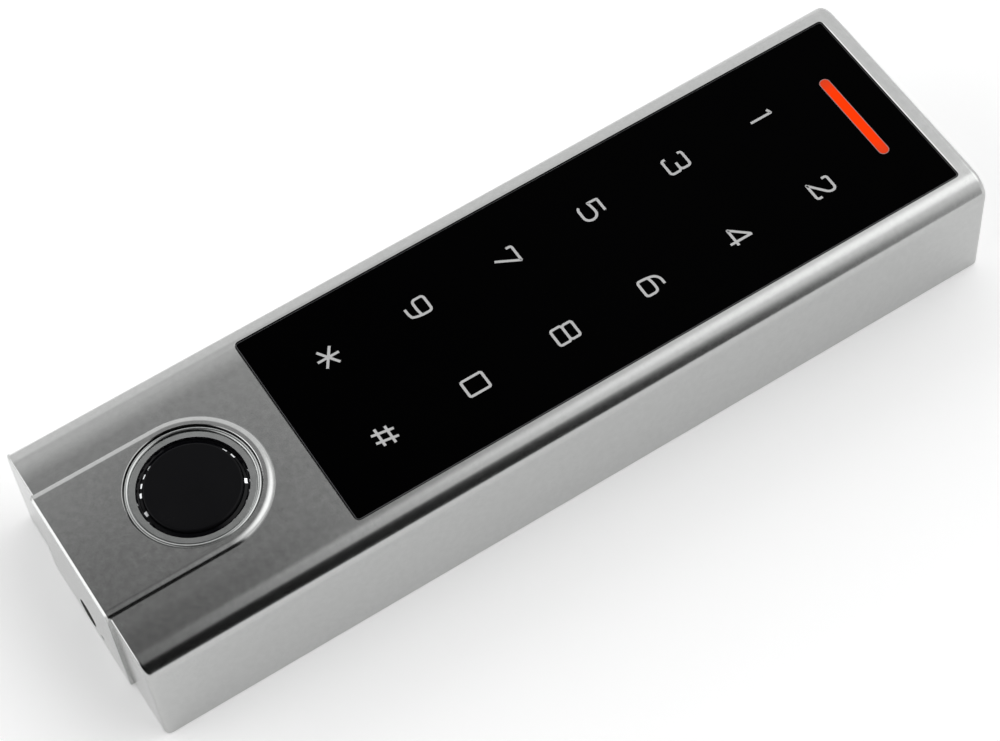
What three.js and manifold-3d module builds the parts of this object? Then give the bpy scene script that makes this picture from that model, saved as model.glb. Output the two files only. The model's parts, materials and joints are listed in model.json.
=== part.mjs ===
// Fingerprint and keypad access terminal: a slim die-cast housing that hangs on a steel wall plate.
// Millimetres. The wall is the plane z = 0 and the front faces +Z; +Y is the end with the light bar.
// The origin is the middle of the back, on the wall plane.
import * as THREE from "three";
import { mergeVertices } from "three/addons/utils/BufferGeometryUtils.js";
import Module from "manifold-3d";

const wasm = await Module();
wasm.setup();

// ---- Driving dimensions ----

// Die-cast housing
const bodyWidth = 45;
const bodyLength = 149;
const bodyDepth = 21.4; // wall plane to the front face round the glass
const sideWall = 3;
const frontWall = 3;
const longEdgeRadius = 3.8; // the two long front edges
const topEdgeRadius = 1.2; // front edge of the light bar end
const cornerRadius = 1.3; // upright corners

// Raised tongue that carries the sensor and wraps over the lower end
const tongueRise = 0.7;
const tongueMargin = 1.9; // bezel of the sensor to the tongue's edge
const tongueFlank = 0.7; // width of its rounded flank
const padProud = 0.6; // how far its end pad stands out of the lower end face

// Fits
const seatGap = 0.05; // between flat faces that rest on each other
const sideGap = 0.3; // round a piece that drops into a pocket or a hole

// Glass keypad
const glassThickness = 1.8;
const glassFromSide = 4.3; // long side of the housing to the glass
const glassFromTop = 2.5; // light bar end of the housing to the glass
const glassFromTongue = 5.3; // round head of the tongue to the glass
const glassCorner = 1.3;
const glassChamfer = 0.3;
const glassDrop = 0.15; // front face of the housing to the face of the glass
const glassLedge = 2.2; // width of the step that the glass is bonded to
const ledgeThickness = 1.6;
const pocketChamfer = 0.2;
const adhesiveThickness = 0.4;
const adhesiveWidth = 1.5;
const adhesiveInset = 0.2; // edge of the glass to the adhesive

// Keys and light bar
const keyColumns = 2;
const keyRows = 6;
const keyColumnPitch = 16.6;
const keyFromTop = 18.4; // upper edge of the glass to the first row of keys
const keyFromLower = 10.6; // lower edge of the glass to the last row
const keyHoleRadius = 1.2;
const lightBarWidth = 17.1;
const lightBarHeight = 2.1;
const lightBarFromTop = 6.5; // upper edge of the glass to the middle of the bar

// Touch board
const touchBoardThickness = 1;
const touchChipSize = [7, 7, 1];
const touchChipAfterRow = 3; // row of keys, from the upper end, that the chip comes after
const keyLedSize = [3.2, 1.6, 0.65];
const barLedSize = [3, 1.4, 0.7];
const barLedCount = 3;
const coilMargin = 7.25; // rows of keys to the ends of the reader coil
const coilBand = 1.7;
const coilThickness = 0.7;

// Fingerprint sensor
const windowRadius = 7.55; // what the finger rests on
const bezelOverhang = 0.8; // flange of the bezel outside its barrel
const bezelFlange = 1;
const bezelDrop = 0.4; // tongue face to the bezel's face
const lipChamfer = 0.35;
const barrelWall = 0.6;
const barrelDepth = 9.7; // bezel's face to the inner end of the barrel
const sensorSealThickness = 0.5;
const nutWall = 1.4;
const nutThickness = 3.4;
const nutNotches = 4;
const prismWidth = 0.75;
const prismTeeth = 30;
const prismToothDepth = 0.35;
const prismDrop = 0.2; // bezel's face to the top of the prism ring
const windowThickness = 1.2;
const windowRise = 0.15; // face of the finger window above the bezel's face
const sensorBoardThickness = 1.2;
const ribbonWidth = 8;
const ribbonThickness = 0.3;

// Back of the terminal
const plateThickness = 1.5;
const plateToCover = 0.4;
const coverThickness = 2.4;
const coverSealThickness = 0.8;
const coverSealWidth = 1;
const rimLip = 1.6; // width of the step that the cover and its seal sit on
const upperWall = 7; // end walls, down to the electronics
const lowerWall = 9;

// Main board
const boardRoom = 3.7; // rear cover to the main board, for what is on the board's back
const boardThickness = 1.6;
const boardGap = 0.8; // edge of a board to the housing or a boss
const chipPlaces = {
  main_chip: { size: [11, 11, 1.2], at: [-7, 6] },
  memory_chip: { size: [5, 6, 1.1], at: [7, 10] },
  reader_chip: { size: [6, 6, 1], at: [8, -4] },
  regulator: { size: [6.5, 7, 2.2], at: [-11, -18] },
}; // places on the main board, from its middle
const buzzerRadius = 5;
const buzzerHeight = 5.4;
const buzzerMouth = 0.8;
const buzzerX = 8;
const buzzerFromEnd = 10.4; // lower end of the main board to the buzzer
const headerSize = [14, 2.6];
const headerAfterRow = 4; // the header stands in the gap after this row of keys
const wireSocketSize = [24, 6, 3.2];
const wireSocketX = -3;
const wireSocketFromBoss = 6.5; // upper row of board bosses to the wire socket
const tamperRadius = 2.4;
const tamperHeight = 2.75;
const tamperX = 11;
const tamperFromBoss = 17;
const tamperHole = 1.5;
const ribbonSocketSize = [11, 3, 1.5];
const bossDepth = 5.2; // how far a boss stands in from the side wall
const bossLength = 5.6;
const rootDepth = 0.1; // how far a boss runs into the wall it grows from
const upperBossFromHollow = 4.8; // ends of the hollow to the end rows of bosses
const lowerBossFromHollow = 3.7;
const middleBossFromGlass = 1.8; // lower edge of the glass to the middle row
const boardBossFromUpper = 13; // rows of cover bosses to the rows of board bosses
const boardBossFromMiddle = 18;

// Screws
const coverScrewRadius = 1.1;
const coverScrewHead = 2.2;
const coverScrewLength = 6;
const boardScrewRadius = 0.9;
const boardScrewHead = 1.8;
const boardScrewLength = 5;
const screwHeadHeight = 1.2;

// Hook and lock
const hookHalfWidth = 14;
const hookWall = 1.9; // housing's end wall outside the hook
const hookLedge = 1.7; // how far the housing's ledge reaches in
const hookLedgeZ = [0.4, 2.2];
const hookTabZ = [3, 4.2];
const flangeHalfWidth = 10;
const flangeHeight = 6.6;
const flangeWall = 4; // housing's end wall at the lock screw
const lockZ = 3.9;
const lockRadius = 1.25;
const lockHeadRadius = 2.1;
const lockHeadHeight = 1.5;
const lockBoreRadius = 2.4;
const lockBoreDepth = 3; // depth of the counterbore from the pad's face
const lockWasherThickness = 0.35;
const lockPoint = 0.2; // how far the tip stands out of the housing's inner face
const socketRadius = 1.05;
const socketDepth = 0.9;
const weepRadius = 0.45;
const weepX = 4.2;
const weepZ = 2.6;

// Cable outlet
const cableBore = 3.5;
const grommetNeck = 4.7;
const grommetFlange = 6.2;
const grommetFlangeThickness = 1.1;
const grommetY = -8;
const plateWindow = 7.2;
const wallScrewRadius = 2.1;
const wallScrewFromEnd = 28.5; // ends of the housing to the wall screws
const wallScrewRoom = 4.6; // radius of the dish in the rear cover over a wall screw's head
const wallScrewDish = 1.3;
const hookRiser = 1; // thickness of the upright part of the plate's hook

// ---- Levels and places worked out from them ----

const prismBore = windowRadius + sideGap;
const prismRadius = prismBore + prismWidth;
const bezelBore = prismRadius + sideGap;
const barrelRadius = bezelBore + barrelWall;
const bezelRadius = barrelRadius + bezelOverhang;
const nutRadius = barrelRadius + sideGap + nutWall;
const sensorBoardRadius = barrelRadius - sideGap;
const tongueRadius = bezelRadius + tongueMargin; // half width, and radius of its round head
const sensorFromEnd = lowerWall + nutRadius + sideGap;
const glassFromLower = sensorFromEnd + tongueRadius + glassFromTongue;

const lowerEnd = -(bodyLength + padProud) / 2 + padProud;
const upperEnd = lowerEnd + bodyLength;
const padEnd = lowerEnd - padProud;
const sensorY = lowerEnd + sensorFromEnd;
const tongueTop = bodyDepth + tongueRise;
const halfWidth = bodyWidth / 2;
const cavityHalf = halfWidth - sideWall;
const cavityLow = lowerEnd + lowerWall;
const cavityHigh = upperEnd - upperWall;

const glassWidth = bodyWidth - 2 * glassFromSide;
const glassLength = bodyLength - glassFromTop - glassFromLower;
const glassFace = bodyDepth - glassDrop;
const glassBack = glassFace - glassThickness;
const glassHigh = upperEnd - glassFromTop;
const glassLow = glassHigh - glassLength;
const glassY = (glassHigh + glassLow) / 2;
const adhesiveFront = glassBack - seatGap;
const ledgeFront = adhesiveFront - adhesiveThickness - seatGap;
const ledgeBack = ledgeFront - ledgeThickness;
const ceiling = bodyDepth - frontWall;
const windowWidth = glassWidth - 2 * glassLedge;
const windowLength = glassLength - 2 * glassLedge;
const touchFront = glassBack - 2 * seatGap;
const touchBack = touchFront - touchBoardThickness;
const lightBarY = glassHigh - lightBarFromTop;
const keyRowPitch = (glassLength - keyFromTop - keyFromLower) / (keyRows - 1);

const coverBack = plateThickness + plateToCover;
const coverFront = coverBack + coverThickness;
const sealBack = coverFront + seatGap;
const rimFloor = sealBack + coverSealThickness + seatGap;
const coverHalf = cavityHalf + rimLip - sideGap;
const coverLow = cavityLow - rimLip + sideGap;
const coverHigh = cavityHigh + rimLip - sideGap;
const boardBack = coverFront + boardRoom;
const boardFront = boardBack + boardThickness;
const bossInner = cavityHalf - bossDepth;
const bossX = cavityHalf - bossDepth / 2;
const upperBossY = cavityHigh - upperBossFromHollow;
const middleBossY = glassLow - middleBossFromGlass;
const coverBossRows = [upperBossY, middleBossY, cavityLow + lowerBossFromHollow];
const boardBossRows = [upperBossY - boardBossFromUpper, middleBossY + boardBossFromMiddle];
const boardStepY = upperBossY - bossLength / 2 - boardGap;
const boardLow = middleBossY + bossLength / 2 + boardGap;
const boardMiddle = (boardStepY + boardLow) / 2;
const coilWidth = 2 * (bossInner - sideGap);
const coilLength = (keyRows - 1) * keyRowPitch + 2 * coilMargin;
const wallScrewRows = [upperEnd - wallScrewFromEnd, lowerEnd + wallScrewFromEnd];

const bezelFace = tongueTop - bezelDrop;
const flangeBack = bezelFace - bezelFlange;
const sealSeat = flangeBack - sensorSealThickness - 2 * seatGap;
const barrelEnd = bezelFace - barrelDepth;
const windowFace = bezelFace + windowRise;
const windowBack = windowFace - windowThickness;
const prismFace = bezelFace - prismDrop;
const sensorShoulder = ceiling - sideGap;
const sensorBoardFront = barrelEnd - sideGap;
const sensorBoardBack = sensorBoardFront - sensorBoardThickness;

const hookInner = upperEnd - hookWall; // housing's end wall, where the hook pocket stops
const hookLedgeTip = hookInner - hookLedge;
const flangeFace = lowerEnd + flangeWall; // housing's inner face at the lock screw
const plateLow = flangeFace + lockPoint + sideGap; // outer face of the plate's flange
const plateHookEnd = hookInner - sideGap;
const riserEnd = hookLedgeTip - sideGap;

// ---- Solids: closed three.js geometries, joined and cut ----

const roundSides = 40;
const smallSides = 16;

function solid(geometry) {
  const bare = geometry.clone();
  bare.deleteAttribute("normal");
  bare.deleteAttribute("uv");
  const merged = mergeVertices(bare, 1e-4);
  return new wasm.Manifold(
    new wasm.Mesh({
      numProp: 3,
      vertProperties: new Float32Array(merged.attributes.position.array),
      triVerts: new Uint32Array(merged.index.array),
    }),
  );
}

function box(x, y, z) {
  const geometry = new THREE.BoxGeometry(x[1] - x[0], y[1] - y[0], z[1] - z[0]);
  geometry.translate((x[0] + x[1]) / 2, (y[0] + y[1]) / 2, (z[0] + z[1]) / 2);
  return solid(geometry);
}

// A block centred on a place, standing on a level
function block(size, x, y, level) {
  const [w, l] = [size[0] / 2, size[1] / 2];
  return box([x - w, x + w], [y - l, y + l], [level, level + size[2]]);
}

function rod(radius, z, x = 0, y = 0, sides = roundSides) {
  const geometry = new THREE.CylinderGeometry(radius, radius, z[1] - z[0], sides);
  geometry.rotateX(Math.PI / 2);
  geometry.translate(x, y, (z[0] + z[1]) / 2);
  return solid(geometry);
}

function rodAlongY(radius, y, x, z, sides = smallSides) {
  const geometry = new THREE.CylinderGeometry(radius, radius, y[1] - y[0], sides);
  geometry.translate(x, (y[0] + y[1]) / 2, z);
  return solid(geometry);
}

// A profile of [radius, z] points, closed on itself or on the axis, turned about Z
function turned(points, x, y, sides = roundSides) {
  const profile = points.map((point) => new THREE.Vector2(point[0], point[1]));
  const geometry = new THREE.LatheGeometry(profile, sides);
  geometry.rotateX(Math.PI / 2);
  geometry.translate(x, y, 0);
  const made = solid(geometry);
  return made;
}

function ring(outer, inner, z, x, y, sides = roundSides) {
  return rod(outer, z, x, y, sides).subtract(rod(inner, [z[0] - 1, z[1] + 1], x, y, sides));
}

// A rectangle with round corners, as a shape in the plane
function roundedOutline(width, length, radius) {
  const w = width / 2;
  const l = length / 2;
  const outline = new THREE.Shape();
  outline.moveTo(-w + radius, -l);
  outline.lineTo(w - radius, -l);
  outline.absarc(w - radius, -l + radius, radius, -Math.PI / 2, 0);
  outline.lineTo(w, l - radius);
  outline.absarc(w - radius, l - radius, radius, 0, Math.PI / 2);
  outline.lineTo(-w + radius, l);
  outline.absarc(-w + radius, l - radius, radius, Math.PI / 2, Math.PI);
  outline.lineTo(-w, -l + radius);
  outline.absarc(-w + radius, -l + radius, radius, Math.PI, Math.PI * 1.5);
  return outline;
}

function slab(outline, z, y = 0, curveSegments = 4) {
  const geometry = new THREE.ExtrudeGeometry(outline, {
    depth: z[1] - z[0],
    bevelEnabled: false,
    curveSegments,
  });
  geometry.translate(0, y, z[0]);
  return solid(geometry);
}

// A slab whose lower and upper edges are bevelled inwards
function bevelledSlab(outline, z, bevel, y = 0, steps = 1, curveSegments = 4) {
  const geometry = new THREE.ExtrudeGeometry(outline, {
    depth: z[1] - z[0] - 2 * bevel,
    bevelEnabled: true,
    bevelThickness: bevel,
    bevelSize: bevel,
    bevelOffset: -bevel,
    bevelSegments: steps,
    curveSegments,
  });
  geometry.translate(0, y, z[0] + bevel);
  return solid(geometry);
}

// ---- Housing ----

// Section across the width, in (z, x), with the two long front edges rounded
function housingSection() {
  const r = longEdgeRadius;
  const section = new THREE.Shape();
  section.moveTo(0, -halfWidth);
  section.lineTo(bodyDepth - r, -halfWidth);
  section.absarc(bodyDepth - r, -halfWidth + r, r, -Math.PI / 2, 0);
  section.lineTo(bodyDepth, halfWidth - r);
  section.absarc(bodyDepth - r, halfWidth - r, r, 0, Math.PI / 2);
  section.lineTo(0, halfWidth);
  return section;
}

// Section along the length, in (y, z), with the front edge of the upper end rounded
function housingSideView() {
  const r = topEdgeRadius;
  const view = new THREE.Shape();
  view.moveTo(lowerEnd, 0);
  view.lineTo(upperEnd, 0);
  view.lineTo(upperEnd, bodyDepth - r);
  view.absarc(upperEnd - r, bodyDepth - r, r, 0, Math.PI / 2);
  view.lineTo(lowerEnd, bodyDepth);
  return view;
}

function housingBlank() {
  const alongY = new THREE.ExtrudeGeometry(housingSection(), {
    depth: bodyLength,
    bevelEnabled: false,
    curveSegments: 7,
  });
  alongY.applyMatrix4(
    new THREE.Matrix4().makeBasis(
      new THREE.Vector3(0, 0, 1),
      new THREE.Vector3(1, 0, 0),
      new THREE.Vector3(0, 1, 0),
    ),
  );
  alongY.translate(0, lowerEnd, 0);
  const alongX = new THREE.ExtrudeGeometry(housingSideView(), {
    depth: bodyWidth + 2,
    bevelEnabled: false,
    curveSegments: 4,
  });
  alongX.applyMatrix4(
    new THREE.Matrix4().makeBasis(
      new THREE.Vector3(0, 1, 0),
      new THREE.Vector3(0, 0, 1),
      new THREE.Vector3(1, 0, 0),
    ),
  );
  alongX.translate(-halfWidth - 1, 0, 0);
  const plan = slab(
    roundedOutline(bodyWidth, bodyLength, cornerRadius),
    [-1, bodyDepth + 1],
    (lowerEnd + upperEnd) / 2,
  );
  return solid(alongY).intersect(solid(alongX)).intersect(plan);
}

// Raised tongue: a round head about the sensor, straight flanks, and a pad over the lower end
function tongue() {
  const outline = new THREE.Shape();
  outline.moveTo(-tongueRadius, padEnd);
  outline.lineTo(tongueRadius, padEnd);
  outline.lineTo(tongueRadius, sensorY);
  outline.absarc(0, sensorY, tongueRadius, 0, Math.PI);
  const blank = bevelledSlab(outline, [-5, tongueTop], tongueFlank, 0, 3, 16);
  return blank.intersect(
    box([-halfWidth, halfWidth], [padEnd - 1, upperEnd], [0, tongueTop + 1]),
  );
}

// Pocket for the glass, its bonding step, and the window behind it
function glassPocket() {
  const width = glassWidth + 2 * sideGap;
  const length = glassLength + 2 * sideGap;
  const pocket = slab(
    roundedOutline(width, length, glassCorner + sideGap),
    [ledgeFront, bodyDepth + 1],
    glassY,
  );
  const grow = 2 * pocketChamfer;
  const chamfer = bevelledSlab(
    roundedOutline(width + grow, length + grow, glassCorner + sideGap + pocketChamfer),
    [bodyDepth - pocketChamfer, bodyDepth + 2],
    pocketChamfer,
    glassY,
  );
  const window = slab(
    roundedOutline(windowWidth, windowLength, 1),
    [ledgeBack - 0.1, ledgeFront + 1],
    glassY,
  );
  return pocket.add(chamfer).add(window);
}

// Hollow for the electronics. Under the keypad it stops at the back of the bonding step.
function electronicsHollow() {
  const middle = (cavityLow + cavityHigh) / 2;
  const outline = roundedOutline(2 * cavityHalf, cavityHigh - cavityLow, 2);
  const whole = slab(outline, [rimFloor - 0.1, ledgeBack], middle);
  const sensorRoom = slab(outline, [ledgeBack - 0.1, ceiling], middle).intersect(
    box([-halfWidth, halfWidth], [lowerEnd, glassLow - glassLedge], [0, bodyDepth]),
  );
  return whole.add(sensorRoom);
}

// Step at the back for the seal and the cover, run out over the hook and the lock flange
function backRecess() {
  const half = cavityHalf + rimLip;
  const low = cavityLow - rimLip;
  const high = cavityHigh + rimLip;
  const coverRoom = slab(
    roundedOutline(2 * half, high - low, 2.4),
    [-1, rimFloor],
    (low + high) / 2,
  );
  const hookRoom = box(
    [-hookHalfWidth - sideGap, hookHalfWidth + sideGap],
    [high - 1, hookInner],
    [-1, rimFloor],
  );
  const flangeRoom = box(
    [-flangeHalfWidth - sideGap, flangeHalfWidth + sideGap],
    [flangeFace, low + 1],
    [-1, rimFloor],
  );
  const flangeSlot = box(
    [-flangeHalfWidth - sideGap, flangeHalfWidth + sideGap],
    [flangeFace, plateLow + plateThickness + sideGap],
    [-1, flangeHeight + 2 * sideGap],
  );
  return coverRoom.add(hookRoom).add(flangeRoom).add(flangeSlot);
}

function hookLedgeBar() {
  return box(
    [-hookHalfWidth - 1, hookHalfWidth + 1],
    [hookLedgeTip, hookInner + 0.5],
    hookLedgeZ,
  );
}

// A row of two bosses on the side walls, from a level up to the solid front
function bossPair(y, level) {
  const left = box(
    [-cavityHalf - rootDepth, -bossInner],
    [y - bossLength / 2, y + bossLength / 2],
    [level, ceiling + 0.5],
  );
  const right = box(
    [bossInner, cavityHalf + rootDepth],
    [y - bossLength / 2, y + bossLength / 2],
    [level, ceiling + 0.5],
  );
  const top = y > glassLow - glassLedge ? ledgeBack + 0.2 : ceiling + 0.5;
  const room = box([-halfWidth, halfWidth], [lowerEnd, upperEnd], [0, top]);
  return left.add(right).intersect(room);
}

function screwHoles(rows, radius, from, depth) {
  const holes = rows.flatMap((y) =>
    [-1, 1].map((side) =>
      rod(radius + sideGap, [from - 1, from + depth], side * bossX, y, smallSides),
    ),
  );
  return holes.reduce((all, hole) => all.add(hole));
}

// Stepped hole for the sensor's bezel, with a chamfered lip
function sensorHole() {
  const hole = rod(barrelRadius + sideGap, [ceiling - 1, tongueTop + 1], 0, sensorY);
  const seat = rod(bezelRadius + sideGap, [sealSeat, tongueTop + 1], 0, sensorY);
  const lip = turned(
    [
      [0, tongueTop - lipChamfer],
      [bezelRadius + sideGap, tongueTop - lipChamfer],
      [bezelRadius + sideGap + 2 * lipChamfer, tongueTop + lipChamfer],
      [0, tongueTop + lipChamfer],
    ],
    0,
    sensorY,
  );
  return hole.add(seat).add(lip);
}

function lockHoles() {
  const counterbore = rodAlongY(lockBoreRadius, [padEnd - 1, padEnd + lockBoreDepth], 0, lockZ, 28);
  const through = rodAlongY(lockRadius + sideGap, [padEnd, flangeFace + 1], 0, lockZ);
  const weep = rodAlongY(weepRadius, [padEnd - 1, flangeFace + 1], weepX, weepZ, 10);
  return counterbore.add(through).add(weep);
}

function housing() {
  let body = housingBlank().add(tongue());
  body = body.subtract(electronicsHollow());
  body = body.subtract(backRecess());
  for (const y of coverBossRows) {
    body = body.add(bossPair(y, coverFront + seatGap));
  }
  for (const y of boardBossRows) {
    body = body.add(bossPair(y, boardFront + seatGap));
  }
  body = body.add(hookLedgeBar());
  body = body.subtract(glassPocket());
  body = body.subtract(sensorHole());
  body = body.subtract(lockHoles());
  body = body.subtract(screwHoles(coverBossRows, coverScrewRadius, coverFront, coverScrewLength));
  body = body.subtract(screwHoles(boardBossRows, boardScrewRadius, boardFront, boardScrewLength));
  return body;
}

// ---- Keypad ----

function keypadGlass() {
  return bevelledSlab(
    roundedOutline(glassWidth, glassLength, glassCorner),
    [glassBack, glassFace],
    glassChamfer,
    glassY,
  );
}

function glassAdhesive() {
  const z = [adhesiveFront - adhesiveThickness, adhesiveFront];
  const width = glassWidth - 2 * adhesiveInset;
  const length = glassLength - 2 * adhesiveInset;
  const outer = slab(roundedOutline(width, length, 1), z, glassY);
  const hole = slab(
    roundedOutline(width - 2 * adhesiveWidth, length - 2 * adhesiveWidth, 0.6),
    [z[0] - 1, z[1] + 1],
    glassY,
  );
  return outer.subtract(hole);
}

function keyPlaces() {
  const places = [];
  for (let row = 0; row < keyRows; row++) {
    for (let column = 0; column < keyColumns; column++) {
      const x = (column - (keyColumns - 1) / 2) * keyColumnPitch;
      places.push([x, glassHigh - keyFromTop - row * keyRowPitch]);
    }
  }
  return places;
}

// Middle of the gap below a row of keys, counted from 1 at the upper end
function gapAfterRow(row) {
  return glassHigh - keyFromTop - (row - 0.5) * keyRowPitch;
}

// Board bonded behind the glass, with a light hole under each key and a slot for the light bar
function touchBoard() {
  let board = slab(
    roundedOutline(windowWidth - 2 * sideGap, windowLength - 2 * sideGap, 1),
    [touchBack, touchFront],
    glassY,
  );
  for (const [x, y] of keyPlaces()) {
    board = board.subtract(rod(keyHoleRadius, [touchBack - 1, touchFront + 1], x, y, 12));
  }
  const slot = roundedOutline(
    lightBarWidth + 2 * sideGap,
    lightBarHeight + 2 * sideGap,
    lightBarHeight / 2,
  );
  return board.subtract(slab(slot, [touchBack - 1, touchFront + 1], lightBarY));
}

function touchChip() {
  const level = touchBack - seatGap - touchChipSize[2];
  return block(touchChipSize, 0, gapAfterRow(touchChipAfterRow), level);
}

function lightBar() {
  return slab(
    roundedOutline(lightBarWidth, lightBarHeight, lightBarHeight / 2),
    [boardFront + barLedSize[2] + sideGap, touchFront],
    lightBarY,
    6,
  );
}

function readerCoil() {
  const z = [touchBack - seatGap - coilThickness, touchBack - seatGap];
  const places = keyPlaces();
  const middle = (places[0][1] + places[places.length - 1][1]) / 2;
  const outer = slab(roundedOutline(coilWidth, coilLength, 3), z, middle);
  const inner = slab(
    roundedOutline(coilWidth - 2 * coilBand, coilLength - 2 * coilBand, 1.5),
    [z[0] - 1, z[1] + 1],
    middle,
  );
  return outer.subtract(inner);
}

// ---- Fingerprint sensor ----

function sensorBezel() {
  const edge = 0.15;
  return turned(
    [
      [bezelBore, barrelEnd],
      [barrelRadius, barrelEnd],
      [barrelRadius, flangeBack],
      [bezelRadius, flangeBack],
      [bezelRadius, bezelFace - edge],
      [bezelRadius - edge, bezelFace],
      [bezelBore + edge, bezelFace],
      [bezelBore, bezelFace - edge],
      [bezelBore, barrelEnd],
    ],
    0,
    sensorY,
  );
}

function sensorSeal() {
  return ring(
    bezelRadius,
    barrelRadius + sideGap,
    [sealSeat + seatGap, sealSeat + seatGap + sensorSealThickness],
    0,
    sensorY,
  );
}

function sensorNut() {
  const z = [ceiling - seatGap - nutThickness, ceiling - seatGap];
  let nut = ring(nutRadius, barrelRadius + sideGap, z, 0, sensorY);
  for (let i = 0; i < nutNotches; i++) {
    const notch = new THREE.BoxGeometry(1.6, 2.4, 1.4);
    notch.translate(0, nutRadius, z[0]);
    notch.rotateZ((i / nutNotches) * 2 * Math.PI + Math.PI / 4);
    notch.translate(0, sensorY, 0);
    nut = nut.subtract(solid(notch));
  }
  return nut;
}

// Clear-black ring with a saw-toothed rim that spreads the sensor's light
function sensorPrism() {
  const rim = new THREE.Shape();
  for (let i = 0; i < prismTeeth; i++) {
    const step = (2 * Math.PI) / prismTeeth;
    const corners = [
      [prismRadius, i * step],
      [prismRadius, (i + 0.6) * step],
      [prismRadius - prismToothDepth, (i + 0.75) * step],
      [prismRadius - prismToothDepth, (i + 0.9) * step],
    ];
    for (const [radius, angle] of corners) {
      rim.lineTo(radius * Math.cos(angle), radius * Math.sin(angle));
    }
  }
  const z = [sensorShoulder + seatGap, prismFace];
  return slab(rim, z, sensorY).subtract(rod(prismBore, [z[0] - 1, z[1] + 1], 0, sensorY));
}

function fingerWindow() {
  const edge = 0.3;
  return turned(
    [
      [0, windowBack],
      [windowRadius, windowBack],
      [windowRadius, windowFace - edge],
      [windowRadius - edge, windowFace],
      [0, windowFace],
    ],
    0,
    sensorY,
  );
}

// Potted can under the window, with a shoulder for the prism ring
function sensorBody() {
  return turned(
    [
      [0, sensorBoardFront + seatGap],
      [bezelBore - sideGap, sensorBoardFront + seatGap],
      [bezelBore - sideGap, sensorShoulder],
      [prismBore - sideGap, sensorShoulder],
      [prismBore - sideGap, windowBack - seatGap],
      [0, windowBack - seatGap],
    ],
    0,
    sensorY,
  );
}

function sensorBoard() {
  return rod(sensorBoardRadius, [sensorBoardBack, sensorBoardFront], 0, sensorY, 32);
}

// ---- Main board ----

// The board's upper end steps in between the cover bosses, to reach under the light bar
function mainBoard() {
  const half = cavityHalf - boardGap;
  const step = bossInner - boardGap;
  const outline = new THREE.Shape();
  outline.moveTo(-half, boardLow);
  outline.lineTo(half, boardLow);
  outline.lineTo(half, boardStepY);
  outline.lineTo(step, boardStepY);
  outline.lineTo(step, cavityHigh - boardGap);
  outline.lineTo(-step, cavityHigh - boardGap);
  outline.lineTo(-step, boardStepY);
  outline.lineTo(-half, boardStepY);
  const board = slab(outline, [boardBack, boardFront]);
  return board.subtract(screwHoles(boardBossRows, boardScrewRadius, boardBack, boardThickness + 1));
}

// Levels of what is soldered on the two faces of the main board
const onFront = boardFront + seatGap;
const onBack = boardBack - seatGap;

// Pin header between the main board and the touch board
function boardHeader() {
  const height = touchBack - seatGap - onFront;
  return block([...headerSize, height], 0, gapAfterRow(headerAfterRow), onFront);
}

function buzzer() {
  const z = [onFront, onFront + buzzerHeight];
  return ring(buzzerRadius, buzzerMouth, z, buzzerX, boardLow + buzzerFromEnd, 24);
}

function wireSocket() {
  const y = boardBossRows[0] - wireSocketFromBoss;
  return block(wireSocketSize, wireSocketX, y, onBack - wireSocketSize[2]);
}

const tamperY = boardBossRows[0] - tamperFromBoss;

// Light sensor that looks out through its hole in the rear cover
function tamperSensor() {
  return rod(tamperRadius, [onBack - tamperHeight, onBack], tamperX, tamperY, 20);
}

const ribbonSocketY = boardLow + ribbonSocketSize[1];

// Flat cable from the back of the sensor's board to its socket on the main board
function sensorRibbon() {
  const z = [sensorBoardBack - seatGap - ribbonThickness, sensorBoardBack - seatGap];
  const end = ribbonSocketY - ribbonSocketSize[1] / 2 - sideGap;
  return box([-ribbonWidth / 2, ribbonWidth / 2], [sensorY + 2, end], z);
}

// ---- Back of the terminal ----

function coverOutline(width, length) {
  return roundedOutline(width, length, 2);
}

function rearCover() {
  const middle = (coverLow + coverHigh) / 2;
  let cover = slab(coverOutline(2 * coverHalf, coverHigh - coverLow), [coverBack, coverFront], middle);
  const headRoom = screwHeadHeight + 0.2;
  cover = cover.subtract(
    screwHoles(coverBossRows, coverScrewHead, coverBack, headRoom),
  );
  cover = cover.subtract(screwHoles(coverBossRows, coverScrewRadius, coverBack, coverThickness + 1));
  for (const y of wallScrewRows) {
    cover = cover.subtract(rod(wallScrewRoom, [coverBack - 1, coverBack + wallScrewDish], 0, y, 24));
  }
  cover = cover.subtract(
    rod(grommetNeck + sideGap, [coverBack - 1, coverFront + 1], 0, grommetY, 32),
  );
  return cover.subtract(
    rod(tamperHole, [coverBack - 1, coverFront + 1], tamperX, tamperY, smallSides),
  );
}

function coverSeal() {
  const z = [sealBack, sealBack + coverSealThickness];
  const middle = (coverLow + coverHigh) / 2;
  const width = 2 * coverHalf;
  const length = coverHigh - coverLow;
  const outer = slab(coverOutline(width, length), z, middle);
  const inner = slab(
    roundedOutline(width - 2 * coverSealWidth, length - 2 * coverSealWidth, 1.5),
    [z[0] - 1, z[1] + 1],
    middle,
  );
  return outer.subtract(inner);
}

function panScrew(shankRadius, headRadius, length, x, y, seat) {
  const head = rod(headRadius, [seat - screwHeadHeight, seat], x, y, smallSides);
  const shank = rod(shankRadius, [seat - 0.1, seat + length], x, y, 12);
  const slotArm = [0.5, headRadius * 1.2, 0.7];
  const upright = block(slotArm, x, y, seat - screwHeadHeight - 0.1);
  const across = block([slotArm[1], slotArm[0], slotArm[2]], x, y, seat - screwHeadHeight - 0.1);
  return head.add(shank).subtract(upright).subtract(across);
}

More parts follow.
